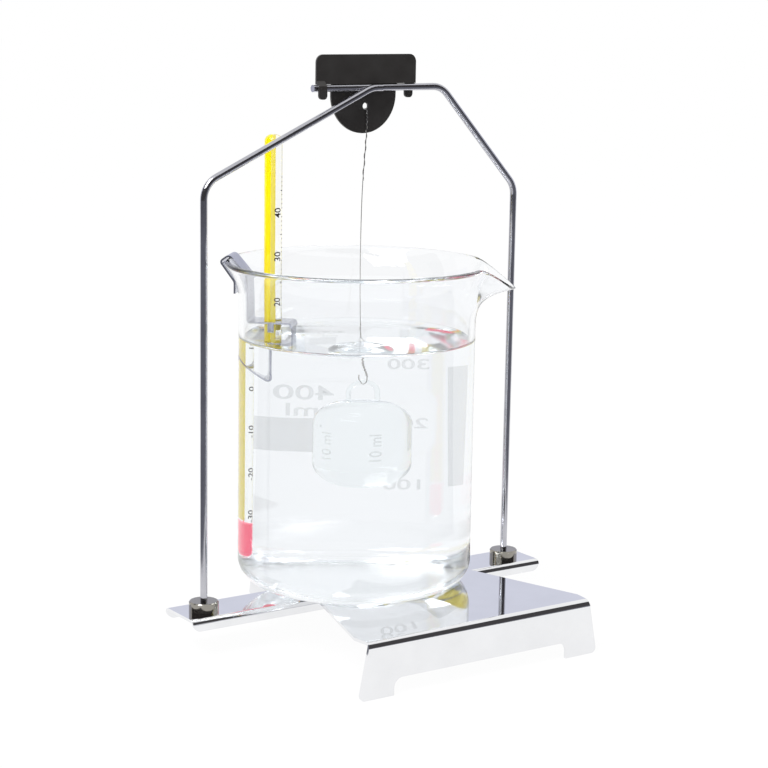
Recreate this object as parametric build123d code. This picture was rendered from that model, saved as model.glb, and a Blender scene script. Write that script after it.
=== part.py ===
"""Density determination kit for a laboratory balance, in millimetres.

A folded sheet bridge carries a 400 ml beaker over the crossbar of a wire frame.
A hanger hooks on the frame's carrier bar and holds a glass sinker on a thin wire
inside the beaker. A thermometer stands in a spring clip on the beaker's rim.

Frame: origin at the bottom centre of the whole kit, X along the crossbar,
-Y towards the bridge's wide front, +Z up.
"""
from build123d import *
from math import atan2, cos, degrees, sin
import os

# ---- bridge: folded stainless sheet
BRIDGE_LENGTH = 117.0
BRIDGE_HEIGHT = 18.7
BRIDGE_SHEET = 1.0
BRIDGE_FOLD_R = 2.2
FRONT_FOLD_HALF = 44.3
FRONT_WIDEST_HALF = 45.3
FRONT_FOOT_HALF = 48.0
FRONT_WIDEST_BACK = 7.5
WAIST_HALF = 22.5
WAIST_Y = 23.0
REAR_FOLD_HALF = 16.0
REAR_FOOT_HALF = 18.5
FOOT_WIDTH = 13.2
FOOT_HEIGHT = 5.6
FOOT_ARCH_R = 3.2
FOOT_TIP_R = 1.8

# ---- crossbar: inverted channel of thin stainless sheet
FRAME_Y = 13.0
BAR_HALF_LENGTH = 72.3
BAR_WIDTH = 19.0
BAR_TOP = 13.8
BAR_DEPTH = 4.0
BAR_SHEET = 1.0
BAR_FOLD_R = 1.8
BAR_END_R = 3.0

# ---- wire frame
ROD_D = 2.4
POST_HALF = 63.0
ROD_BOTTOM = 10.2
CARRIER_Z = 185.8
LEFT_KNEE_Z = 155.8
RIGHT_KNEE_Z = 150.4
RIGHT_SHOULDER_X = 30.4
BEND_R = 8.0
CARRIER_END_X = -22.0
WELD_X = 0.0
WELD_END_X = 4.2
WELD_OFFSET = 2.35

# ---- collars, nuts and washers that hold the rods
COLLAR_D = 10.0
COLLAR_H = 3.2
COLLAR_CHAMFER = 0.35
ROD_HOLE_D = 2.46
NUT_AF = 5.0
NUT_H = 2.0
WASHER_D = 5.6
WASHER_H = 0.3

# ---- hub under the crossbar, seat for a balance's pan support
HUB_D = 15.0
SOCKET_D = 8.0
SOCKET_DEPTH = 8.0
HUB_SCREW_X = 4.9
HUB_SCREW_D = 2.0
HUB_SCREW_HEAD_D = 4.4
HUB_SCREW_HEAD_H = 1.0
HUB_SCREW_LENGTH = 4.0
HUB_SCREW_SLOT_W = 0.6
HUB_CHAMFER = 0.5

# ---- hanger: black sheet, hooked over the carrier bar
HANGER_SHEET = 0.8
HANGER_HALF = 20.0
HANGER_TOP = 196.9
HANGER_CORNER_R = 2.6
TAB_WIDTH = 3.2
TAB_BOTTOM = 182.2
DISC_R = 13.0
DISC_CENTRE_Z = 183.5
HANGER_OFFSET = 1.75
HANGER_STEP_Z = 188.1
HANGER_HOLE_D = 2.2
HANGER_SHIFT = 0.7
HANGER_ROD_GAP = 0.1
HANGER_HOLE_Z = 179.6

# ---- suspension wire and its hook
WIRE_D = 0.3
WIRE_FRONT_GAP = 0.35
WIRE_BEND_Z = 167.0
WIRE_BEND_DROP = 10.0
HOOK_R = 1.7
HOOK_BOTTOM_Z = 86.7

# ---- glass sinker
SINKER_D = 23.0
SINKER_BOTTOM = 51.5
SINKER_TOP = 80.9
SINKER_EDGE_R = 8.0
LOOP_D = 1.3
LOOP_HALF = 4.0
LOOP_GAP = 0.05

# ---- beaker, 400 ml low form
BEAKER_X = -8.0
BEAKER_Y = 5.5
BEAKER_D = 80.0
BEAKER_WALL = 1.8
BEAKER_H = 109.8
BEAKER_FLOOR = 2.6
BEAKER_EDGE_R = 8.0
RIM_R = 44.4
RIM_FLARE_H = 6.6
SPOUT_ANGLE = -35.0
SPOUT_REACH = 53.6
SPOUT_DROP = 8.0
SPOUT_TROUGH_R = 16.0
SPOUT_ROOT_R = 9.6
SPOUT_ROOT_DROP = 5.5
SPOUT_TIP_R = 2.6
SPOUT_WALL = 1.6
BEAKER_GAP = 0.05

# ---- thermometer and its clip
CLIP_ANGLE = 137.5
THERMO_RADIUS = 29.1
THERMO_D = 6.0
THERMO_BOTTOM = 25.2
THERMO_TOP = 170.2
BULB_D = 4.2
BULB_H = 12.5
BORE_D = 0.3
SPIRIT_TOP = 72.0
BACKING_D = 5.4
BACKING_CHORD = 0.1
CLIP_SHEET = 0.6
CLIP_WIDTH = 10.0
CLIP_HOLE_GAP = 0.08
CLIP_SHELF_Z = 107.2
CLIP_GLASS_GAP = 0.65
CLIP_OUTER_GAP = 0.9
CLIP_OUTER_LEG = 5.2
CLIP_RETURN_RISE = 9.0
CLIP_RETURN_GAP = 0.6
CLIP_BEND_DROP = 1.2
CLIP_RIM_OUT = 1.8
CLIP_RIM_DROP = 1.0
CLIP_RIM_IN = 1.3
CLIP_RIM_RISE = 1.3
CLIP_INNER_RISE = 1.1
CLIP_FINGER = 3.4
CLIP_LEG_RADIUS = 21.8
CLIP_LEG_BOTTOM = 88.0
CLIP_LEG_WIDTH = 5.0
CLIP_FOOT_H = 2.6
CLIP_SHOULDER_H = 1.6


def rod_along(points, radii, diameter):
    """Round wire along straight runs joined by tangent arcs."""
    path = FilletPolyline(*points, radius=radii)
    section = Plane(path @ 0, z_dir=path % 0) * Circle(diameter / 2)
    return sweep(section, path=path)


def strip_along(points, radii, thickness, width, across):
    """Flat strip along a planar path; across is the direction of its width."""
    path = FilletPolyline(*points, radius=radii)
    plane = Plane(path @ 0, x_dir=across, z_dir=path % 0)
    return sweep(plane * Rectangle(width, thickness), path=path)


# ------------------------------------------------------------------ bridge

def flange_outline(fold_half, foot_half, arched):
    """Flange seen from the front: wider at the foot, with rounded lower corners."""
    fold_z = BRIDGE_HEIGHT
    corners = [(-fold_half, fold_z), (fold_half, fold_z), (foot_half, 0), (-foot_half, 0)]
    face = make_face(Polyline(*corners, close=True))
    tips = face.vertices().filter_by_position(Axis.Y, -0.1, 0.1)
    face = fillet(tips, FOOT_TIP_R)
    if arched:
        inner = foot_half - FOOT_WIDTH
        arch = Pos(0, FOOT_HEIGHT / 2) * Rectangle(2 * inner, FOOT_HEIGHT)
        arch = fillet(arch.vertices().group_by(Axis.Y)[-1], FOOT_ARCH_R)
        face = face - arch
    return face


def bridge():
    y_front = -BRIDGE_LENGTH / 2
    y_rear = BRIDGE_LENGTH / 2
    y_wide = y_front + FRONT_WIDEST_BACK
    half = [(FRONT_FOLD_HALF, y_front), (FRONT_WIDEST_HALF, y_wide),
            (WAIST_HALF, WAIST_Y), (REAR_FOLD_HALF, y_rear)]
    outline = half + [(-x, y) for x, y in reversed(half)]
    plate = extrude(make_face(Polyline(*outline, close=True)), amount=-BRIDGE_SHEET)
    plate = Pos(0, 0, BRIDGE_HEIGHT) * plate

    front = extrude(Plane.XZ * flange_outline(FRONT_FOLD_HALF, FRONT_FOOT_HALF, True), amount=-BRIDGE_SHEET)
    front = Pos(0, y_front, 0) * front
    rear = extrude(Plane.XZ * flange_outline(REAR_FOLD_HALF, REAR_FOOT_HALF, False), amount=BRIDGE_SHEET)
    rear = Pos(0, y_rear, 0) * rear
    body = plate + front + rear

    outer = [e for e in body.edges().filter_by(Axis.X)
             if abs(e.center().Z - BRIDGE_HEIGHT) < 0.01
             and abs(abs(e.center().Y) - y_rear) < 0.01]
    body = fillet(outer, BRIDGE_FOLD_R)
    inner = [e for e in body.edges().filter_by(Axis.X)
             if abs(e.center().Z - BRIDGE_HEIGHT + BRIDGE_SHEET) < 0.01
             and abs(abs(e.center().Y) - y_rear + BRIDGE_SHEET) < 0.01]
    return fillet(inner, BRIDGE_FOLD_R - BRIDGE_SHEET)


# ------------------------------------------------------------------- frame

def crossbar():
    outer = Pos(0, BAR_TOP - BAR_DEPTH / 2) * Rectangle(BAR_WIDTH, BAR_DEPTH)
    outer = fillet(outer.vertices().group_by(Axis.Y)[-1], BAR_FOLD_R)
    hollow_w = BAR_WIDTH - 2 * BAR_SHEET
    hollow_h = BAR_DEPTH - BAR_SHEET
    hollow = Pos(0, BAR_TOP - BAR_SHEET - hollow_h / 2) * Rectangle(hollow_w, hollow_h)
    hollow = fillet(hollow.vertices().group_by(Axis.Y)[-1], BAR_FOLD_R - BAR_SHEET)
    channel = extrude(Plane.YZ * (outer - hollow), amount=BAR_HALF_LENGTH, both=True)
    side = Pos(0, BAR_TOP - BAR_DEPTH / 2) * Rectangle(2 * BAR_HALF_LENGTH, BAR_DEPTH)
    side = fillet(side.vertices().group_by(Axis.Y)[0], BAR_END_R)
    channel = channel & extrude(Plane.XZ * side, amount=BAR_WIDTH, both=True)
    for x in (-POST_HALF, POST_HALF):
        channel -= Pos(x, 0, BAR_TOP) * Cylinder(ROD_HOLE_D / 2, 3 * BAR_SHEET)
    for x in (-HUB_SCREW_X, HUB_SCREW_X):
        channel -= Pos(x, 0, BAR_TOP) * Cylinder(HUB_SCREW_D / 2 + 0.05, 3 * BAR_SHEET)
    return Pos(0, FRAME_Y, 0) * channel


def left_rod():
    points = [(-POST_HALF, FRAME_Y, ROD_BOTTOM),
              (-POST_HALF, FRAME_Y, LEFT_KNEE_Z),
              (WELD_X, FRAME_Y - WELD_OFFSET, CARRIER_Z),
              (WELD_END_X, FRAME_Y - WELD_OFFSET, CARRIER_Z)]
    return rod_along(points, [BEND_R, BEND_R], ROD_D)


def right_rod():
    points = [(POST_HALF, FRAME_Y, ROD_BOTTOM),
              (POST_HALF, FRAME_Y, RIGHT_KNEE_Z),
              (RIGHT_SHOULDER_X, FRAME_Y, CARRIER_Z),
              (CARRIER_END_X, FRAME_Y, CARRIER_Z)]
    return rod_along(points, [BEND_R, BEND_R], ROD_D)


def collar(x):
    body = Cylinder(COLLAR_D / 2, COLLAR_H, align=(Align.CENTER, Align.CENTER, Align.MIN))
    body = chamfer(body.edges().group_by(Axis.Z)[-1], COLLAR_CHAMFER)
    body -= Cylinder(ROD_HOLE_D / 2, 3 * COLLAR_H)
    return Pos(x, FRAME_Y, BAR_TOP) * body


def under_bar_z():
    return BAR_TOP - BAR_SHEET


def washers():
    ring = Cylinder(WASHER_D / 2, WASHER_H, align=(Align.CENTER, Align.CENTER, Align.MAX))
    ring -= Cylinder(ROD_HOLE_D / 2, 3 * WASHER_H)
    return Compound([Pos(x, FRAME_Y, under_bar_z()) * ring for x in (-POST_HALF, POST_HALF)])


def nuts():
    nut = extrude(RegularPolygon(NUT_AF / 2, 6, major_radius=False), amount=-NUT_H)
    nut -= Cylinder(ROD_HOLE_D / 2, 3 * NUT_H)
    z = under_bar_z() - WASHER_H
    return Compound([Pos(x, FRAME_Y, z) * nut for x in (-POST_HALF, POST_HALF)])


def support_hub():
    height = under_bar_z()
    hub = Cylinder(HUB_D / 2, height, align=(Align.CENTER, Align.CENTER, Align.MIN))
    hub = chamfer(hub.edges().group_by(Axis.Z)[0], HUB_CHAMFER)
    hub -= Cylinder(SOCKET_D / 2, 2 * SOCKET_DEPTH)
    for x in (-HUB_SCREW_X, HUB_SCREW_X):
        hub -= Pos(x, 0, height) * Cylinder(HUB_SCREW_D / 2 + 0.03, 2 * HUB_SCREW_LENGTH)
    return Pos(0, FRAME_Y, 0) * hub


def hub_screws():
    head = Cylinder(HUB_SCREW_HEAD_D / 2, HUB_SCREW_HEAD_H, align=(Align.CENTER, Align.CENTER, Align.MIN))
    head = fillet(head.edges().group_by(Axis.Z)[-1], 0.4)
    head -= Pos(0, 0, HUB_SCREW_HEAD_H) * Box(HUB_SCREW_HEAD_D, HUB_SCREW_SLOT_W, HUB_SCREW_HEAD_H)
    shank = Cylinder(HUB_SCREW_D / 2, HUB_SCREW_LENGTH, align=(Align.CENTER, Align.CENTER, Align.MAX))
    screw = head + shank
    return Compound([Pos(x, FRAME_Y, BAR_TOP) * screw for x in (-HUB_SCREW_X, HUB_SCREW_X)])


# ------------------------------------------------------------------ hanger

def stepped_sheet(direction, bottom_z, half_width):
    """Sheet that drops from the plate's plane, steps aside over the bar and runs down."""
    t = HANGER_SHEET / 2
    shift = direction * HANGER_OFFSET
    top = HANGER_STEP_Z + 1.2
    step = HANGER_OFFSET
    centre = [(0, 0, top), (0, 0, HANGER_STEP_Z),
              (0, shift, HANGER_STEP_Z - step), (0, shift, bottom_z)]
    return strip_along(centre, [0.6, 0.6], 2 * t, 2 * half_width, (1, 0, 0))


def hanger_plate():
    t = HANGER_SHEET
    low = CARRIER_Z + ROD_D / 2 + HANGER_ROD_GAP
    plate = Pos(0, (HANGER_TOP + low) / 2) * Rectangle(2 * HANGER_HALF, HANGER_TOP - low)
    plate = fillet(plate.vertices().group_by(Axis.Y)[-1], HANGER_CORNER_R)
    body = extrude(Plane.XZ * plate, amount=t / 2, both=True)

    apron = stepped_sheet(1, DISC_CENTRE_Z - DISC_R - 1, DISC_R)
    keep = Pos(0, 0, DISC_CENTRE_Z) * Rot(90, 0, 0) * Cylinder(DISC_R, 20)
    keep += Pos(0, 0, DISC_CENTRE_Z + 10) * Box(2 * DISC_R, 20, 20)
    body += apron & keep

    tab_x = HANGER_HALF - TAB_WIDTH / 2
    for x, direction in ((-tab_x, -1), (tab_x, 1)):
        tab = stepped_sheet(direction, TAB_BOTTOM, TAB_WIDTH / 2)
        foot = [e for e in tab.edges().filter_by(Axis.Y) if e.center().Z < TAB_BOTTOM + 0.1]
        body += Pos(x, 0, 0) * fillet(foot, 1.3)
    body -= Pos(HANGER_SHIFT, 0, HANGER_HOLE_Z) * Rot(90, 0, 0) * Cylinder(HANGER_HOLE_D / 2, 20)
    return Pos(-HANGER_SHIFT, FRAME_Y, 0) * body


def wire_front_y():
    """Where the wire hangs: just in front of the hanger's disc."""
    return FRAME_Y + HANGER_OFFSET - HANGER_SHEET / 2 - WIRE_FRONT_GAP - WIRE_D / 2


def wire_eye_z():
    """Height of the wire where it rests on the lower edge of the hanger's hole."""
    return HANGER_HOLE_Z - HANGER_HOLE_D / 2 + WIRE_D / 2 + 0.06


def suspension_wire():
    y = wire_front_y()
    y_back = FRAME_Y + HANGER_OFFSET + HANGER_SHEET / 2 + WIRE_FRONT_GAP + WIRE_D / 2
    eye = wire_eye_z()
    hook_mid = HOOK_BOTTOM_Z + HOOK_R + WIRE_D / 2
    centre_y = sinker_y()
    points = [(0, y_back, eye - 3.2), (0, y_back, eye), (0, y, eye), (0, y, WIRE_BEND_Z),
              (0, centre_y, WIRE_BEND_Z - WIRE_BEND_DROP), (0, centre_y, hook_mid + 5.5),
              (0, centre_y - HOOK_R, hook_mid + 2.2), (0, centre_y - HOOK_R, hook_mid - HOOK_R),
              (0, centre_y + HOOK_R, hook_mid - HOOK_R), (0, centre_y + HOOK_R, hook_mid + 1.2)]
    radii = [0.5, 0.5, 20.0, 20.0, 3.0, 1.2, HOOK_R - 0.02, HOOK_R - 0.02]
    return rod_along(points, radii, WIRE_D)


# ------------------------------------------------------------------ sinker

def sinker_y():
    """The sinker hangs plumb under the middle of the hanger's sheet."""
    return FRAME_Y + HANGER_OFFSET


def sinker():
    height = SINKER_TOP - SINKER_BOTTOM
    body = Cylinder(SINKER_D / 2, height, align=(Align.CENTER, Align.CENTER, Align.MIN))
    body = fillet(body.edges().filter_by(GeomType.CIRCLE), SINKER_EDGE_R)
    body = Pos(0, sinker_y(), SINKER_BOTTOM) * body
    top = HOOK_BOTTOM_Z + WIRE_D + LOOP_GAP + LOOP_D / 2
    y = sinker_y()
    root = SINKER_TOP - 1.2
    points = [(-LOOP_HALF, y, root), (-LOOP_HALF, y, top), (LOOP_HALF, y, top), (LOOP_HALF, y, root)]
    return body + rod_along(points, [LOOP_HALF - 0.02, LOOP_HALF - 0.02], LOOP_D)


# ------------------------------------------------------------------ beaker

def beaker_profile():
    r_out = BEAKER_D / 2
    r_in = r_out - BEAKER_WALL
    edge = BEAKER_EDGE_R
    flare = BEAKER_H - RIM_FLARE_H
    lip = BEAKER_WALL / 2
    outer = (Line((0, 0), (r_out - edge, 0))
             + RadiusArc((r_out - edge, 0), (r_out, edge), -edge)
             + Line((r_out, edge), (r_out, flare))
             + Line((r_out, flare), (RIM_R, BEAKER_H - lip)))
    rim = ThreePointArc((RIM_R, BEAKER_H - lip), (RIM_R - 0.35, BEAKER_H - 0.1), (RIM_R - lip, BEAKER_H))
    rim += Line((RIM_R - lip, BEAKER_H), (RIM_R - BEAKER_WALL + 0.1, BEAKER_H - 0.4))
    inner_edge = edge - BEAKER_WALL
    inner = (Line((RIM_R - BEAKER_WALL + 0.1, BEAKER_H - 0.4), (r_in, flare + 0.8))
             + Line((r_in, flare + 0.8), (r_in, BEAKER_FLOOR + inner_edge))
             + RadiusArc((r_in, BEAKER_FLOOR + inner_edge), (r_in - inner_edge, BEAKER_FLOOR), inner_edge)
             + Line((r_in - inner_edge, BEAKER_FLOOR), (0, BEAKER_FLOOR))
             + Line((0, BEAKER_FLOOR), (0, 0)))
    return make_face(outer + rim + inner)


def spout_horn(root_r, tip_r, start, reach):
    """Tapered horn along +X whose lower line rises towards the tip."""
    root_z = BEAKER_H - SPOUT_ROOT_DROP
    tip_z = BEAKER_H - SPOUT_DROP
    root = Plane(origin=(start, 0, root_z), z_dir=(1, 0, 0)) * Circle(root_r)
    tip = Plane(origin=(reach, 0, tip_z), z_dir=(1, 0, 0)) * Circle(tip_r)
    return loft([root, tip])


def beaker():
    glass = revolve(Plane.XZ * beaker_profile(), axis=Axis.Z)
    r_in = BEAKER_D / 2 - BEAKER_WALL
    bore = Pos(0, 0, BEAKER_FLOOR + 10) * Cylinder(r_in, BEAKER_H, align=(Align.CENTER, Align.CENTER, Align.MIN))
    horn = spout_horn(SPOUT_ROOT_R, SPOUT_TIP_R, r_in - 2, SPOUT_REACH) - bore
    channel = spout_horn(SPOUT_ROOT_R - SPOUT_WALL, SPOUT_TIP_R - SPOUT_WALL, r_in - 2.2, SPOUT_REACH + 1)
    glass = (glass + horn) - channel
    dip = atan2(SPOUT_DROP, SPOUT_REACH - r_in - 2)
    trough = Rot(0, 90 + degrees(dip), 0) * Cylinder(SPOUT_TROUGH_R, 40, align=(Align.CENTER, Align.CENTER, Align.MIN))
    glass -= Pos(r_in + 1.5 + SPOUT_TROUGH_R * sin(dip), 0, BEAKER_H + SPOUT_TROUGH_R * cos(dip)) * trough
    above = Pos(0, 0, BEAKER_H) * Cylinder(2 * BEAKER_D, 20, align=(Align.CENTER, Align.CENTER, Align.MIN))
    glass -= above
    return Pos(BEAKER_X, BEAKER_Y, BRIDGE_HEIGHT + BEAKER_GAP) * Rot(0, 0, SPOUT_ANGLE) * glass


# --------------------------------------------------- thermometer and clip

def at_clip(shape):
    """Turn a shape built along +X so that +X runs out from the beaker's axis at the clip."""
    return Pos(BEAKER_X, BEAKER_Y, 0) * Rot(0, 0, CLIP_ANGLE) * shape


def thermometer_column():
    """Coloured spirit: the bulb's filling and the thread above it."""
    bulb = Cylinder(BULB_D / 2, BULB_H - 1.4, align=(Align.CENTER, Align.CENTER, Align.MIN))
    bulb = fillet(bulb.edges().group_by(Axis.Z)[0], 1.4)
    thread_h = SPIRIT_TOP - THERMO_BOTTOM - 1.4
    thread = Cylinder(BORE_D / 2, thread_h, align=(Align.CENTER, Align.CENTER, Align.MIN))
    return Pos(THERMO_RADIUS, 0, THERMO_BOTTOM + 1.4) * (bulb + thread)


def thermometer_backing():
    """Coloured enamel band fused behind the bore, on the side that faces the wall."""
    low = THERMO_BOTTOM + BULB_H + 1.0
    height = THERMO_TOP - low - 1.2
    band = Cylinder(BACKING_D / 2, height, align=(Align.CENTER, Align.CENTER, Align.MIN))
    clear = Pos(-5 + BORE_D / 2 + BACKING_CHORD, 0, 0) * Box(10, 10, 3 * height)
    return Pos(THERMO_RADIUS, 0, low) * (band - clear)


def thermometer_stem():
    height = THERMO_TOP - THERMO_BOTTOM
    stem = Cylinder(THERMO_D / 2, height, align=(Align.CENTER, Align.CENTER, Align.MIN))
    stem = fillet(stem.edges().filter_by(GeomType.CIRCLE), 2.4)
    stem = Pos(THERMO_RADIUS, 0, THERMO_BOTTOM) * stem
    return stem - thermometer_column() - thermometer_backing()


def thermometer_clip():
    base = BRIDGE_HEIGHT + BEAKER_GAP
    rim_z = base + BEAKER_H
    flare_z = rim_z - RIM_FLARE_H
    r_out = BEAKER_D / 2
    r_in = r_out - BEAKER_WALL
    gap = CLIP_SHEET / 2 + CLIP_GLASS_GAP
    outer = r_out + CLIP_SHEET / 2 + CLIP_OUTER_GAP
    points = [(outer, 0, flare_z - CLIP_OUTER_LEG),
              (outer, 0, flare_z - CLIP_BEND_DROP),
              (RIM_R + CLIP_RIM_OUT, 0, rim_z - CLIP_RIM_DROP),
              (RIM_R - CLIP_RIM_IN, 0, rim_z + CLIP_RIM_RISE),
              (r_in - gap, 0, flare_z + CLIP_INNER_RISE),
              (r_in - gap, 0, CLIP_SHELF_Z),
              (CLIP_LEG_RADIUS, 0, CLIP_SHELF_Z),
              (CLIP_LEG_RADIUS, 0, CLIP_LEG_BOTTOM),
              (r_in - gap - CLIP_RETURN_GAP, 0, CLIP_LEG_BOTTOM + CLIP_RETURN_RISE)]
    radii = [2.0, 1.0, 1.5, 2.0, 1.0, 1.2, 1.0]
    strip = strip_along(points, radii, CLIP_SHEET, CLIP_WIDTH, (0, 1, 0))
    hole = Pos(THERMO_RADIUS, 0, 0) * Cylinder(THERMO_D / 2 + CLIP_HOLE_GAP, 2 * CLIP_SHELF_Z + 20)
    below_rim = Pos(THERMO_RADIUS, 0, CLIP_LEG_BOTTOM) * Box(12, 20, 45)
    strip -= hole & below_rim
    leg_low = CLIP_LEG_BOTTOM + CLIP_FOOT_H
    leg_high = CLIP_SHELF_Z - CLIP_SHOULDER_H
    leg_cut = (CLIP_WIDTH - CLIP_LEG_WIDTH) / 2
    for side in (-1, 1):
        y = side * (CLIP_LEG_WIDTH + leg_cut) / 2
        strip -= Pos(CLIP_LEG_RADIUS, y, (leg_low + leg_high) / 2) * Box(4, leg_cut, leg_high - leg_low)
    for side in (-1, 1):
        finger = Box(2.2, CLIP_SHEET, CLIP_FINGER)
        y = side * (THERMO_D / 2 + CLIP_HOLE_GAP + CLIP_SHEET / 2)
        strip += Pos(THERMO_RADIUS, y, CLIP_SHELF_Z - CLIP_FINGER / 2) * finger
    return strip


NODES = {
    "bridge": bridge,
    "crossbar": crossbar,
    "left_rod": left_rod,
    "right_rod": right_rod,
    "left_collar": lambda: collar(-POST_HALF),
    "right_collar": lambda: collar(POST_HALF),
    "rod_nuts": nuts,
    "lock_washers": washers,
    "support_hub": support_hub,
    "hub_screws": hub_screws,
    "hanger_plate": hanger_plate,
    "suspension_wire": suspension_wire,
    "sinker": sinker,
    "beaker": beaker,
    "thermometer_stem": lambda: at_clip(thermometer_stem()),
    "thermometer_backing": lambda: at_clip(thermometer_backing()),
    "thermometer_spirit": lambda: at_clip(thermometer_column()),
    "thermometer_clip": lambda: at_clip(thermometer_clip()),
}

os.makedirs("parts", exist_ok=True)
for name, make in NODES.items():
    export_step(make(), f"parts/{name}.step")
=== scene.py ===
"""Looks of a balance density kit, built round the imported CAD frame. Lengths are in metres."""
from math import atan2, ceil, cos, degrees, exp, hypot, pi, radians, sin, tan

import bmesh
import bpy
from mathutils import Matrix, Vector


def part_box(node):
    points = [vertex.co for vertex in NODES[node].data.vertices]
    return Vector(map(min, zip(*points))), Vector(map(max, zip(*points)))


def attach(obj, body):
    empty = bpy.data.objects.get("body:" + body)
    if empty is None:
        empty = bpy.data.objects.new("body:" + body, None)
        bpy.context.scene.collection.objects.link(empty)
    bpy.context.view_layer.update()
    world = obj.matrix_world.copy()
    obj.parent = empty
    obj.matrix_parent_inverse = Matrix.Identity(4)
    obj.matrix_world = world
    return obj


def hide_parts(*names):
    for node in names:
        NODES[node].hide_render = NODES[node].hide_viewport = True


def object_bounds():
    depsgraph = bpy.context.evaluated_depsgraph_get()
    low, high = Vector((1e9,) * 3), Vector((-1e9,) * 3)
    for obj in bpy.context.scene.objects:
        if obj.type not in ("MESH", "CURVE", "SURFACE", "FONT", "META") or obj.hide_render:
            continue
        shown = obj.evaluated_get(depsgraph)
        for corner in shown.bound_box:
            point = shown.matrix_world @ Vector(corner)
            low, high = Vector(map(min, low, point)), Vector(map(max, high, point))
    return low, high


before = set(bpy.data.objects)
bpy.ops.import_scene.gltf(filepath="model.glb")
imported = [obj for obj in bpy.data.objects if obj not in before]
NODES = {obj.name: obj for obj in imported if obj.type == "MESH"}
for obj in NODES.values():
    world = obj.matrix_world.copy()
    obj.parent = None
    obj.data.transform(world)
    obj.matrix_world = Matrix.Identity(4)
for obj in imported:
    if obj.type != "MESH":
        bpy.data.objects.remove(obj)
cad_low, cad_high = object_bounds()
MM = 0.001


# ------------------------------------------------------------------ places

def centre(node):
    low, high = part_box(node)
    return (Vector(low) + Vector(high)) / 2


RIM_RADIUS = 44.4 * MM
VESSEL_LOW, VESSEL_HIGH = (Vector(corner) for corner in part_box("beaker"))
VESSEL_AXIS = Vector((VESSEL_LOW.x + RIM_RADIUS, VESSEL_HIGH.y - RIM_RADIUS, 0))
VESSEL_BASE = VESSEL_LOW.z
VESSEL_HEIGHT = VESSEL_HIGH.z - VESSEL_BASE
WALL_RADIUS = 40 * MM
WALL = 1.8 * MM
FLOOR_THICKNESS = 2.6 * MM
CORNER_RADIUS = 8 * MM
INNER_CORNER_TOP = CORNER_RADIUS - WALL + FLOOR_THICKNESS - 1 * MM
FLARE_HEIGHT = 13 * MM
LIP_RADIUS = WALL / 2
LIP_LEAN = radians(38.7)
SPOUT_ANGLE = radians(-35)
SPOUT_HALF_ANGLE = radians(24)
SPOUT_REACH = 9.2 * MM
SPOUT_DROP = 8 * MM
SPOUT_HEIGHT = 21 * MM
WATER_LEVEL = 83.3 * MM
MENISCUS_RISE = 1.5 * MM
MENISCUS_WIDTH = 1.5 * MM

STEM_AXIS = centre("thermometer_stem")
STEM_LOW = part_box("thermometer_stem")[0][2]
STEM_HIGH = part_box("thermometer_stem")[1][2]
STEM_RADIUS = 3 * MM
STEM_END_RADIUS = 2.4 * MM

PRINT_THICKNESS = 0.03 * MM
SCALE_THICKNESS = 0.02 * MM
BOLDNESS = 0.010


# --------------------------------------------------------------- materials

def new_material(name, color, metallic=0.0, roughness=0.3):
    material = bpy.data.materials.new(name)
    material.use_nodes = True
    shader = material.node_tree.nodes["Principled BSDF"]
    shader.inputs["Base Color"].default_value = (*color, 1)
    shader.inputs["Metallic"].default_value = metallic
    shader.inputs["Roughness"].default_value = roughness
    return material, material.node_tree, shader


def noise_texture(tree, scale, detail=3.0, stretch=(1, 1, 1)):
    coordinate = tree.nodes.new("ShaderNodeTexCoord")
    mapping = tree.nodes.new("ShaderNodeMapping")
    mapping.inputs["Scale"].default_value = stretch
    texture = tree.nodes.new("ShaderNodeTexNoise")
    texture.inputs["Scale"].default_value = scale
    texture.inputs["Detail"].default_value = detail
    tree.links.new(coordinate.outputs["Object"], mapping.inputs["Vector"])
    tree.links.new(mapping.outputs["Vector"], texture.inputs["Vector"])
    return texture.outputs["Fac"]


def spread(tree, source, low, high):
    """Maps the middle of a noise onto low..high."""
    node = tree.nodes.new("ShaderNodeMapRange")
    node.inputs["From Min"].default_value = 0.3
    node.inputs["From Max"].default_value = 0.7
    node.inputs["To Min"].default_value = low
    node.inputs["To Max"].default_value = high
    tree.links.new(source, node.inputs["Value"])
    return node.outputs["Result"]


def two_colors(tree, source, first, second):
    node = tree.nodes.new("ShaderNodeMix")
    node.data_type = "RGBA"
    node.inputs["A"].default_value = (*first, 1)
    node.inputs["B"].default_value = (*second, 1)
    tree.links.new(source, node.inputs["Factor"])
    return node.outputs["Result"]


def bump(tree, shader, source, depth):
    node = tree.nodes.new("ShaderNodeBump")
    node.inputs["Distance"].default_value = depth
    tree.links.new(source, node.inputs["Height"])
    tree.links.new(node.outputs["Normal"], shader.inputs["Normal"])


def polished_metal(name, color, dull, smooth=0.02, rough=0.06, grain=(1, 1, 1), depth=0.4e-6):
    """Mirror polish: faint smudges in gloss and tint, and fine rubbing marks along the grain."""
    material, tree, shader = new_material(name, color, metallic=1.0)
    smudge = noise_texture(tree, 90, 4)
    tree.links.new(spread(tree, smudge, smooth, rough), shader.inputs["Roughness"])
    tint = two_colors(tree, spread(tree, smudge, 0, 1), color, dull)
    tree.links.new(tint, shader.inputs["Base Color"])
    bump(tree, shader, noise_texture(tree, 1500, 2, grain), depth)
    return material


def black_finish():
    dark, worn = (0.019, 0.017, 0.016), (0.025, 0.023, 0.022)
    material, tree, shader = new_material("black_sheet", dark)
    patch = noise_texture(tree, 160, 5)
    tree.links.new(spread(tree, patch, 0.32, 0.42), shader.inputs["Roughness"])
    tint = two_colors(tree, spread(tree, patch, 0, 1), dark, worn)
    tree.links.new(tint, shader.inputs["Base Color"])
    bump(tree, shader, noise_texture(tree, 2600, 2), 6e-6)
    return material


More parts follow.
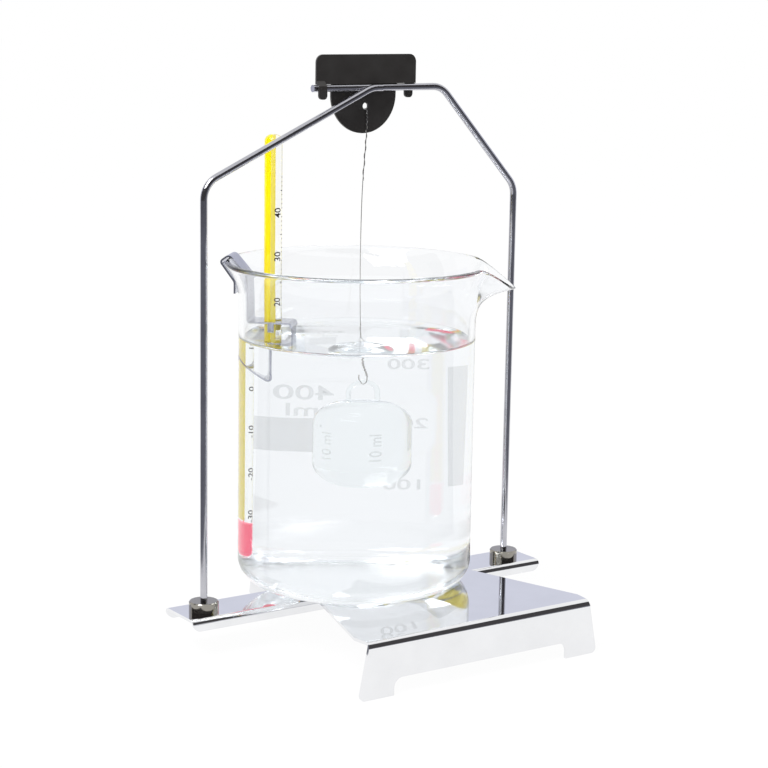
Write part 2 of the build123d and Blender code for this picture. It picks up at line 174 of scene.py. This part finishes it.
def turned_metal(name, color, dull):
    """Fine rings round the vertical axis, as a lathe leaves them."""
    material, tree, shader = new_material(name, color, metallic=1.0)
    grain = noise_texture(tree, 900, 3, (0.05, 0.05, 6))
    tree.links.new(spread(tree, grain, 0.18, 0.34), shader.inputs["Roughness"])
    tint = two_colors(tree, spread(tree, grain, 0, 1), color, dull)
    tree.links.new(tint, shader.inputs["Base Color"])
    bump(tree, shader, grain, 5e-6)
    return material


def clear_material(name, color, refraction, wave_scale, wave_depth):
    """Clear glass or water, with the slight waviness of its surface."""
    material, tree, shader = new_material(name, color, roughness=0.0)
    shader.inputs["Transmission Weight"].default_value = 1.0
    shader.inputs["IOR"].default_value = refraction
    bump(tree, shader, noise_texture(tree, wave_scale, 2), wave_depth)
    return material


def enamel(name, color, second, roughness, scale, cover=1.0, painted_glow=0.0):
    """Opaque or half see-through coat, as cover says; painted_glow is painted light, an emission that
    makes the coat shine as if lit through the glass.
    """
    material, tree, shader = new_material(name, color, roughness=roughness)
    shader.inputs["Alpha"].default_value = cover
    # Painted light: the coat shines by its own emission, not by a lamp.
    shader.inputs["Emission Color"].default_value = (*color, 1)
    shader.inputs["Emission Strength"].default_value = painted_glow
    shader.inputs["Specular IOR Level"].default_value = 0.1
    tone = spread(tree, noise_texture(tree, scale, 4), 0, 1)
    tree.links.new(two_colors(tree, tone, color, second), shader.inputs["Base Color"])
    bump(tree, shader, noise_texture(tree, 6 * scale, 2), 2e-6)
    return material


STEEL = polished_metal(
    "polished_steel", (0.86, 0.865, 0.88), (0.82, 0.825, 0.84), grain=(0.08, 1, 1))
ROD_STEEL = polished_metal(
    "rod_steel", (0.54, 0.54, 0.58), (0.44, 0.44, 0.48), 0.10, 0.18, (1, 1, 0.1))
COLLAR_STEEL = polished_metal(
    "dark_steel", (0.34, 0.32, 0.29), (0.27, 0.26, 0.23), 0.08, 0.16, (1, 1, 6))
FASTENER_STEEL = polished_metal(
    "fastener_steel", (0.60, 0.60, 0.61), (0.46, 0.46, 0.47), 0.22, 0.38, depth=4e-6)
CLIP_STEEL = polished_metal(
    "clip_steel", (0.50, 0.51, 0.57), (0.42, 0.43, 0.48), 0.10, 0.20, (1, 1, 0.1))
WIRE_STEEL = polished_metal(
    "wire_steel", (0.50, 0.49, 0.48), (0.36, 0.35, 0.34), 0.18, 0.32, (1, 1, 0.1))
HUB_METAL = turned_metal("hub_metal", (0.72, 0.72, 0.74), (0.58, 0.58, 0.60))
BLACK = black_finish()
BEAKER_GLASS = clear_material("clear_glass", (0.962, 0.972, 0.984), 1.47, 70, 4e-6)
STEM_GLASS = clear_material("stem_glass", (0.99, 1.0, 0.995), 1.5, 120, 1e-6)
SINKER_GLASS = clear_material("sinker_glass", (0.95, 0.97, 0.97), 1.22, 140, 6e-6)
WATER = clear_material("water", (0.992, 0.998, 1.0), 1.333, 45, 3e-6)
# Painted light: the yellow backing glows by emission so that it looks evenly bright inside the glass
# stem.
YELLOW = enamel(
    "yellow_enamel", (0.95, 0.80, 0.0), (0.92, 0.75, 0.0), 0.35, 400, painted_glow=0.35)
# Painted light: the red spirit glows by emission, not by a lamp.
RED = enamel(
    "red_spirit", (0.85, 0.0, 0.10), (0.65, 0.0, 0.06), 0.2, 500, painted_glow=0.8)
PRINT = enamel(
    "print_enamel", (0.80, 0.86, 0.87), (0.72, 0.79, 0.81), 0.6, 900, cover=0.13)
STEM_PRINT = enamel("stem_print", (0.012, 0.010, 0.012), (0.03, 0.02, 0.03), 0.5, 900)


def paint(obj, material):
    obj.data.materials.clear()
    obj.data.materials.append(material)


# ------------------------------------------------------------ mesh helpers

def finished(name, bm, material, body):
    """Turns a bmesh into a piece that rides on a body."""
    bmesh.ops.recalc_face_normals(bm, faces=bm.faces[:])
    mesh = bpy.data.meshes.new(name)
    bm.to_mesh(mesh)
    bm.free()
    mesh.polygons.foreach_set("use_smooth", [True] * len(mesh.polygons))
    piece = bpy.data.objects.new(name, mesh)
    bpy.context.scene.collection.objects.link(piece)
    mesh.materials.append(material)
    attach(piece, body)
    return piece


def arc(middle, radius, start, end, steps):
    """Points on an arc in the plane of radius and height; angles in degrees."""
    points = []
    for i in range(steps + 1):
        angle = radians(start + (end - start) * i / steps)
        points.append((middle[0] + radius * cos(angle), middle[1] + radius * sin(angle)))
    return points


def straight(start, end, steps):
    """Points after start, up to end."""
    return [(start[0] + (end[0] - start[0]) * i / steps, start[1] + (end[1] - start[1]) * i / steps)
            for i in range(1, steps + 1)]


def turned(profile, axis, base, segments, shape=None):
    """Closed surface of revolution; the profile starts and ends on the axis."""
    bm = bmesh.new()
    rings = []
    for radius, height in profile[1:-1]:
        ring = []
        for i in range(segments):
            angle = 2 * pi * i / segments
            r, z = shape(angle, radius, height) if shape else (radius, height)
            ring.append(bm.verts.new((axis.x + r * cos(angle), axis.y + r * sin(angle), base + z)))
        rings.append(ring)
    for lower, upper in zip(rings, rings[1:]):
        for i in range(segments):
            j = (i + 1) % segments
            bm.faces.new((lower[i], lower[j], upper[j], upper[i]))
    for ring, (_, height) in ((rings[0], profile[0]), (rings[-1], profile[-1])):
        tip = bm.verts.new((axis.x, axis.y, base + height))
        for i in range(segments):
            bm.faces.new((ring[i], ring[(i + 1) % segments], tip))
    return bm


def add_tube(bm, points, radius, sides=12):
    """Round tube with closed ends along a list of points."""
    rings = []
    across = Vector((1, 0, 0))
    for i, point in enumerate(points):
        run = (points[min(i + 1, len(points) - 1)] - points[max(i - 1, 0)]).normalized()
        across = (across - run * across.dot(run)).normalized()
        side = run.cross(across)
        ring = []
        for k in range(sides):
            angle = 2 * pi * k / sides
            ring.append(bm.verts.new(point + radius * (cos(angle) * across + sin(angle) * side)))
        rings.append(ring)
    for first, second in zip(rings, rings[1:]):
        for k in range(sides):
            m = (k + 1) % sides
            bm.faces.new((first[k], first[m], second[m], second[k]))
    bm.faces.new(rings[0][::-1])
    bm.faces.new(rings[-1])


def smooth_path(points, steps=8):
    """Catmull-Rom curve through the points."""
    path = []
    for i in range(len(points) - 1):
        before = points[max(i - 1, 0)]
        after = points[min(i + 2, len(points) - 1)]
        a, b = points[i], points[i + 1]
        for k in range(steps):
            t = k / steps
            path.append(0.5 * (2 * a + (b - before) * t
                               + (2 * before - 5 * a + 4 * b - after) * t ** 2
                               + (3 * a - before - 3 * b + after) * t ** 3))
    path.append(points[-1].copy())
    return path


def text_mesh(words, size):
    """Flat filled letters, centred on the origin."""
    curve = bpy.data.curves.new("letters", "FONT")
    curve.body = words
    curve.size = size
    curve.offset = BOLDNESS * size
    curve.align_x = "CENTER"
    curve.align_y = "CENTER"
    letters = bpy.data.objects.new("letters", curve)
    bpy.context.scene.collection.objects.link(letters)
    bpy.context.view_layer.update()
    evaluated = letters.evaluated_get(bpy.context.evaluated_depsgraph_get())
    mesh = bpy.data.meshes.new_from_object(evaluated)
    bm = bmesh.new()
    bm.from_mesh(mesh)
    bpy.data.objects.remove(letters)
    bpy.data.curves.remove(curve)
    bpy.data.meshes.remove(mesh)
    return bm


def bar_mesh(width, height):
    bm = bmesh.new()
    corners = [(-width / 2, -height / 2, 0), (width / 2, -height / 2, 0),
               (width / 2, height / 2, 0), (-width / 2, height / 2, 0)]
    bm.faces.new([bm.verts.new(corner) for corner in corners])
    return bm


def wrap(bm, axis, radius, angle, height):
    """Bends a flat print round an upright cylinder; its x runs to the right for a viewer outside."""
    step = radius / 20
    reach = max(abs(v.co.x) for v in bm.verts)
    for k in range(-ceil(reach / step), ceil(reach / step) + 1):
        everything = bm.verts[:] + bm.edges[:] + bm.faces[:]
        bmesh.ops.bisect_plane(bm, geom=everything, plane_co=(k * step, 0, 0), plane_no=(1, 0, 0))
    for v in bm.verts:
        turn = angle + v.co.x / radius
        v.co = Vector((axis.x + radius * cos(turn), axis.y + radius * sin(turn), height + v.co.y))
    return bm


def joined(parts):
    """One bmesh from several."""
    whole = bmesh.new()
    for part in parts:
        mesh = bpy.data.meshes.new("part")
        part.to_mesh(mesh)
        part.free()
        whole.from_mesh(mesh)
        bpy.data.meshes.remove(mesh)
    return whole


def thicken(piece, thickness):
    solidify = piece.modifiers.new("thickness", "SOLIDIFY")
    solidify.thickness = thickness
    solidify.offset = 1


def soften_edges(piece):
    """Sheared edges of the sheet, very slightly rounded."""
    edge = piece.modifiers.new("sheared_edge", "BEVEL")
    edge.width = 0.10 * MM
    edge.segments = 2
    edge.limit_method = "ANGLE"
    edge.angle_limit = radians(50)
    edge.use_clamp_overlap = True


# ------------------------------------------------------------------ beaker

FLARE_START = VESSEL_HEIGHT - FLARE_HEIGHT
FLARE_END = VESSEL_HEIGHT - LIP_RADIUS * (1 + sin(LIP_LEAN))
FLARE_WIDTH = RIM_RADIUS - WALL_RADIUS - LIP_RADIUS * (1 - cos(LIP_LEAN))
FLARE_POWER = tan(LIP_LEAN) * (FLARE_END - FLARE_START) / FLARE_WIDTH


def flare(height):
    """How far the wall leans out near the rim, and how steeply."""
    t = max(0.0, (height - FLARE_START) / (FLARE_END - FLARE_START))
    slope = FLARE_WIDTH * FLARE_POWER * t ** (FLARE_POWER - 1) / (FLARE_END - FLARE_START)
    return FLARE_WIDTH * t ** FLARE_POWER, slope


def wall_points(height):
    """Outer and inner points of the wall, one wall thickness apart."""
    lean_out, slope = flare(height)
    outer = WALL_RADIUS + lean_out
    length = hypot(1, slope)
    return (outer, height), (outer - WALL / length, height + WALL * slope / length)


def pulled_spout(angle, radius, height):
    """Draws the rim out and down into the pouring spout."""
    away = (angle - SPOUT_ANGLE + pi) % (2 * pi) - pi
    t = (height - (VESSEL_HEIGHT - SPOUT_HEIGHT)) / SPOUT_HEIGHT
    if abs(away) >= SPOUT_HALF_ANGLE or t <= 0:
        return radius, height
    lean = cos(pi / 2 * away / SPOUT_HALF_ANGLE) ** 2.4
    return radius + SPOUT_REACH * lean * t ** 2.3, height - SPOUT_DROP * lean * t ** 1.6


def beaker_profile():
    r, w, c = WALL_RADIUS, WALL, CORNER_RADIUS
    foot = 0.8 * MM
    outer = [(0, foot)] + straight((0, foot), (r - c - 6 * MM, foot * 0.5), 6)
    outer += straight(outer[-1], (r - c - 1 * MM, 0.05 * MM), 3)
    outer += arc((r - c, c), c, -88, 0, 14)
    bottom_of_flare = FLARE_START - 6 * MM
    outer += straight(outer[-1], (r, bottom_of_flare), 12)
    walls = [wall_points(h) for _, h in straight((0, bottom_of_flare), (0, FLARE_END), 22)]
    outer += [point for point, _ in walls]
    lean = degrees(LIP_LEAN)
    lip = arc((RIM_RADIUS - LIP_RADIUS, VESSEL_HEIGHT - LIP_RADIUS), LIP_RADIUS, -lean, 180 - lean, 12)
    inner = [point for _, point in reversed(walls)]
    inner += straight(inner[-1], (r - w, INNER_CORNER_TOP), 14)
    inner += arc((r - c, INNER_CORNER_TOP), c - w, 0, -90, 12)[1:]
    inner += straight(inner[-1], (0.5 * MM, inner[-1][1] + 0.5 * MM), 10)
    inner.append((0, inner[-1][1]))
    return outer + lip[1:-1] + inner


def make_beaker():
    bm = turned(beaker_profile(), VESSEL_AXIS, VESSEL_BASE, 240, pulled_spout)
    piece = finished("beaker_glass", bm, BEAKER_GLASS, "vessel")
    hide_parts("beaker")


def make_water():
    """Fills the beaker up to its level and climbs the wall a little; it overlaps the glass by a hair."""
    overlap = 0.12 * MM
    r = WALL_RADIUS - WALL + overlap
    c = CORNER_RADIUS - WALL
    floor = INNER_CORNER_TOP - c - overlap
    profile = [(0, floor + 0.4 * MM)] + straight((0, floor + 0.4 * MM), (r - c, floor), 8)
    profile += arc((r - c, INNER_CORNER_TOP - overlap), c, -90, 0, 12)[1:]
    edge = WATER_LEVEL + MENISCUS_RISE
    profile += straight(profile[-1], (r, edge - 0.03 * MM), 12) + [(r, edge)]
    inward = [0.03, 0.2, 0.4, 0.7, 1.0, 1.4, 1.9, 2.5, 3.2, 4.2, 5.5, 8, 14, 22, 30]
    for distance in inward:
        rise = MENISCUS_RISE * exp(-distance * MM / MENISCUS_WIDTH)
        profile.append((r - distance * MM, WATER_LEVEL + rise))
    profile.append((0, WATER_LEVEL))
    bm = turned(profile, VESSEL_AXIS, VESSEL_BASE, 192)
    finished("water", bm, WATER, "vessel")


def make_graduations():
    """Generic graduation print, baked on the outside of the wall."""
    radius = WALL_RADIUS + 0.03 * MM
    numbers = [("400", 7.2, 69.9, 79.3), ("ml", 6.4, 70.5, 73.2),
               ("300", 5.2, 42.5, 89.9), ("200", 5.2, 42.8, 68.9), ("100", 5.2, 43.3, 46.9)]
    prints = [wrap(text_mesh(words, size * MM), VESSEL_AXIS, radius, radians(angle), height * MM)
              for words, size, angle, height in numbers]
    bars = [(10.2, 12.0, 74.5, 64.4), (3.9, 43.0, 30.7, 67.5)]
    prints += [wrap(bar_mesh(width * MM, tall * MM), VESSEL_AXIS, radius, radians(angle), height * MM)
               for width, tall, angle, height in bars]
    piece = finished("graduations", joined(prints), PRINT, "vessel")
    thicken(piece, PRINT_THICKNESS)


# ------------------------------------------------------------- thermometer

SCALE_ANGLE = atan2(VESSEL_AXIS.y - STEM_AXIS.y, VESSEL_AXIS.x - STEM_AXIS.x)
NUMERAL_ANGLE = SCALE_ANGLE - radians(44)
DEGREE_PITCH = 1.48 * MM
FIRST_NUMERAL = 144.2 * MM
FIRST_DEGREE = 40
MARKS_ABOVE = 8
MARKS_BELOW = 74
LONG_MARK = 2.4 * MM
SHORT_MARK = 1.3 * MM
MARK_HEIGHT = 0.28 * MM
NUMERAL_SIZE = 3.4 * MM


def make_stem():
    """Solid glass rod, domed at the top and rounded at the bulb."""
    r = STEM_RADIUS
    end = STEM_END_RADIUS
    height = STEM_HIGH - STEM_LOW
    profile = [(0, 0)] + arc((r - end, end), end, -90, 0, 10)
    profile += straight(profile[-1], (r, height - end), 40)
    profile += arc((r - end, height - end), end, 0, 90, 10)[1:]
    profile.append((0, height))
    piece = finished("thermometer_glass", turned(profile, STEM_AXIS, STEM_LOW, 64), STEM_GLASS,
                     "thermometer")
    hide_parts("thermometer_stem")


def make_sinker_marks():
    """Generic volume mark, engraved on two sides of the sinker."""
    low, high = (Vector(corner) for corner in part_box("sinker"))
    axis = (low + high) / 2
    radius = (high.x - low.x) / 2 + 0.02 * MM
    marks = []
    for angle in (188, 255):
        letters = text_mesh("10 ml", 4.6 * MM)
        bmesh.ops.rotate(letters, verts=letters.verts[:], matrix=Matrix.Rotation(pi / 2, 3, "Z"))
        marks.append(wrap(letters, axis, radius, radians(angle), low.z + 14.7 * MM))
    piece = finished("sinker_marks", joined(marks), PRINT, "plummet")
    thicken(piece, PRINT_THICKNESS)


def make_stem_scale():
    """Degree marks and numerals; k counts the degrees below the first numeral."""
    radius = STEM_RADIUS + 0.015 * MM
    prints = []
    for k in range(-MARKS_ABOVE, MARKS_BELOW + 1):
        height = FIRST_NUMERAL - k * DEGREE_PITCH
        width = LONG_MARK if k % 10 == 5 else SHORT_MARK
        if k % 10:
            bar = bar_mesh(width, MARK_HEIGHT)
            prints.append(wrap(bar, STEM_AXIS, radius, SCALE_ANGLE, height))
        else:
            numeral = text_mesh(str(FIRST_DEGREE - k), NUMERAL_SIZE)
            bmesh.ops.rotate(numeral, verts=numeral.verts[:], matrix=Matrix.Rotation(pi / 2, 3, "Z"))
            prints.append(wrap(numeral, STEM_AXIS, radius, NUMERAL_ANGLE, height))
    piece = finished("thermometer_scale", joined(prints), STEM_PRINT, "thermometer")
    thicken(piece, SCALE_THICKNESS)


# -------------------------------------------------------------------- wire

def make_wire():
    """Thin wire, tied through the hanger's hole and twisted into a hook that carries the sinker."""
    low, high = (Vector(corner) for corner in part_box("suspension_wire"))
    middle = (low.y + high.y) / 2
    front = middle - 0.9 * MM
    hook_floor = low.z + 0.15 * MM
    top = high.z - 0.15 * MM
    r = 0.13 * MM
    bow = -0.9 * MM
    run = [Vector((0.2 * MM, middle + 0.6 * MM, top)),
           Vector((0.1 * MM, middle - 0.7 * MM, top - 0.1 * MM)),
           Vector((0.3 * MM, front, top - 2.0 * MM)),
           Vector((0.2 * MM, front, top - 9 * MM)),
           Vector((bow * 0.8, middle - 0.3 * MM, top - 28 * MM)),
           Vector((bow, middle, top - 50 * MM)),
           Vector((bow * 0.7, middle, top - 68 * MM)),
           Vector((bow * 0.2, middle, top - 82 * MM)),
           Vector((0, middle - 0.1 * MM, hook_floor + 6.5 * MM)),
           Vector((0, middle - 1.5 * MM, hook_floor + 3.6 * MM)),
           Vector((0, middle - 1.6 * MM, hook_floor + 1.2 * MM)),
           Vector((0, middle, hook_floor)),
           Vector((0, middle + 1.6 * MM, hook_floor + 1.2 * MM)),
           Vector((0, middle + 1.7 * MM, hook_floor + 3.0 * MM))]
    path = smooth_path(run, 12)
    bm = bmesh.new()
    add_tube(bm, path, r, 10)
    twisted_spans = ((14, 46), (76, 112))
    steps_per_turn = 3.2
    for start, end in twisted_spans:
        strand = []
        for i in range(start, end):
            for part in range(4):
                t = part / 4
                point = path[i].lerp(path[i + 1], t)
                angle = 2 * pi * (i + t - start) / steps_per_turn
                strand.append(point + 1.9 * r * Vector((cos(angle), sin(angle), 0)))
        add_tube(bm, strand, r * 0.8, 8)
    piece = finished("hanging_wire", bm, WIRE_STEEL, "wire")
    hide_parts("suspension_wire")


# ------------------------------------------------------------------ studio

BACK_AZIMUTH = 34.56
CAMERA_PITCH = radians(-10.92)
CAMERA_ROLL = radians(0.956)
CAMERA_DISTANCE = 0.7179
CAMERA_TARGET = Vector((0.0058, 0.0090, 0.0847))
CAMERA_LENS = 97.7
DARK = (0.06, 0.057, 0.06)
DARK_TABLE = (0.19, 0.195, 0.225)
BACKDROP = (0.70, 0.715, 0.82)
EDGE = (0.60, 0.62, 0.64)
CARD_STEPS = 24
LIGHT_BOUNCES = 64  # a ray crosses the walls, water, sinker and stem many times before it leaves


def emissive(name, color):
    material = bpy.data.materials.new(name)
    material.use_nodes = True
    tree = material.node_tree
    tree.nodes.clear()
    light = tree.nodes.new("ShaderNodeEmission")
    light.inputs["Color"].default_value = (*color, 1)
    output = tree.nodes.new("ShaderNodeOutputMaterial")
    tree.links.new(light.outputs["Emission"], output.inputs["Surface"])
    return material


def azimuths(first, last):
    return [radians(BACK_AZIMUTH + first + (last - first) * i / CARD_STEPS)
            for i in range(CARD_STEPS + 1)]


def add_card(name, first, last, high, radius, color, seen_by):
    rows = []
    for azimuth in azimuths(first, last):
        spot = Vector((radius * sin(azimuth), radius * cos(azimuth), 0))
        rows.append((spot, spot + Vector((0, 0, high))))
    place_card(name, rows, color, seen_by)


def add_floor_card(name, first, last, near, far, color):
    """Flat ring sector just over the floor, seen only in reflections."""
    lift = Vector((0, 0, cad_low[2] + 0.5 * MM))
    rows = []
    for azimuth in azimuths(first, last):
        spot = Vector((sin(azimuth), cos(azimuth), 0))
        rows.append((spot * near + lift, spot * far + lift))
    place_card(name, rows, color, ["glossy"])


def place_card(name, rows, color, seen_by):
    """Strip of faces through the pairs of points, lit evenly."""
    bm = bmesh.new()
    pairs = [[bm.verts.new(point) for point in row] for row in rows]
    for a, b in zip(pairs, pairs[1:]):
        bm.faces.new((a[0], b[0], b[1], a[1]))
    mesh = bpy.data.meshes.new(name)
    bm.to_mesh(mesh)
    bm.free()
    card = bpy.data.objects.new(name, mesh)
    bpy.context.scene.collection.objects.link(card)
    mesh.materials.append(emissive(name, color))
    show_only(card, seen_by)


def show_only(card, seen_by):
    card.visible_camera = False
    card.visible_diffuse = False
    card.visible_shadow = False
    card.visible_volume_scatter = False
    card.visible_glossy = "glossy" in seen_by
    card.visible_transmission = "transmission" in seen_by


def make_floor():
    bpy.ops.mesh.primitive_plane_add(size=12, location=(0, 0, cad_low[2]))
    floor = bpy.context.object
    floor.name = "floor"
    material, _, shader = new_material("lit_floor", (0.05, 0.05, 0.05), roughness=0.9)
    shader.inputs["Specular IOR Level"].default_value = 0
    shader.inputs["Emission Color"].default_value = (1, 1, 1, 1)
    shader.inputs["Emission Strength"].default_value = 0.95
    floor.data.materials.append(material)


def make_world():
    world = bpy.data.worlds.new("studio")
    world.use_nodes = True
    background = world.node_tree.nodes["Background"]
    background.inputs["Color"].default_value = (1, 1, 1, 1)
    background.inputs["Strength"].default_value = 1.0
    bpy.context.scene.world = world
    bpy.context.scene.view_settings.view_transform = "Standard"
    paths = bpy.context.scene.cycles
    paths.max_bounces = LIGHT_BOUNCES
    paths.transmission_bounces = LIGHT_BOUNCES
    paths.glossy_bounces = LIGHT_BOUNCES


def add_softbox(name, azimuth, elevation, distance, size, power):
    light = bpy.data.lights.new(name, "AREA")
    light.shape = "SQUARE"
    light.size = size
    light.energy = power
    lamp = bpy.data.objects.new(name, light)
    bpy.context.scene.collection.objects.link(lamp)
    a, e = radians(azimuth), radians(elevation)
    away = Vector((sin(a) * cos(e), cos(a) * cos(e), sin(e)))
    lamp.location = CAMERA_TARGET + away * distance
    lamp.rotation_euler = away.to_track_quat("Z", "Y").to_euler()


def make_camera():
    a, p, roll = radians(BACK_AZIMUTH), CAMERA_PITCH, CAMERA_ROLL
    forward = Vector((sin(a) * cos(p), cos(a) * cos(p), sin(p)))
    right = Vector((cos(a), -sin(a), 0))
    up = right.cross(forward)
    tilted_right = cos(roll) * right + sin(roll) * up
    tilted_up = cos(roll) * up - sin(roll) * right
    turn = Matrix((tilted_right, tilted_up, -forward)).transposed().to_4x4()
    camera = bpy.data.objects.new("camera", bpy.data.cameras.new("camera"))
    camera.data.lens = CAMERA_LENS
    camera.data.sensor_width = 36
    camera.data.clip_start = 0.01
    camera.matrix_world = Matrix.Translation(CAMERA_TARGET - forward * CAMERA_DISTANCE) @ turn
    bpy.context.scene.collection.objects.link(camera)
    bpy.context.scene.camera = camera


make_camera()

for node, material in {
    "bridge": STEEL, "crossbar": STEEL, "left_rod": ROD_STEEL, "right_rod": ROD_STEEL,
    "left_collar": COLLAR_STEEL, "right_collar": COLLAR_STEEL, "rod_nuts": FASTENER_STEEL,
    "lock_washers": FASTENER_STEEL, "support_hub": HUB_METAL, "hub_screws": FASTENER_STEEL,
    "hanger_plate": BLACK, "sinker": SINKER_GLASS, "thermometer_backing": YELLOW,
    "thermometer_spirit": RED, "thermometer_clip": CLIP_STEEL,
}.items():
    paint(NODES[node], material)

for node in ("bridge", "crossbar", "hanger_plate"):
    soften_edges(NODES[node])

make_beaker()
make_water()
make_graduations()
make_sinker_marks()
make_stem()
make_stem_scale()
make_wire()

make_floor()
make_world()
add_card("dark_room", 80, 280, high=1.8, radius=1.5, color=DARK, seen_by=["glossy"])
add_floor_card("dark_table", 75, 285, near=0.165, far=1.5, color=DARK_TABLE)
add_card("grey_backdrop", -75, 75, high=0.62, radius=1.5, color=BACKDROP, seen_by=["glossy"])
add_card("left_edge", -100, -62, high=1.2, radius=1.4, color=EDGE, seen_by=["transmission"])
add_card("right_edge", 62, 100, high=1.2, radius=1.4, color=EDGE, seen_by=["transmission"])
add_softbox("key", azimuth=250, elevation=50, distance=0.9, size=0.5, power=6)
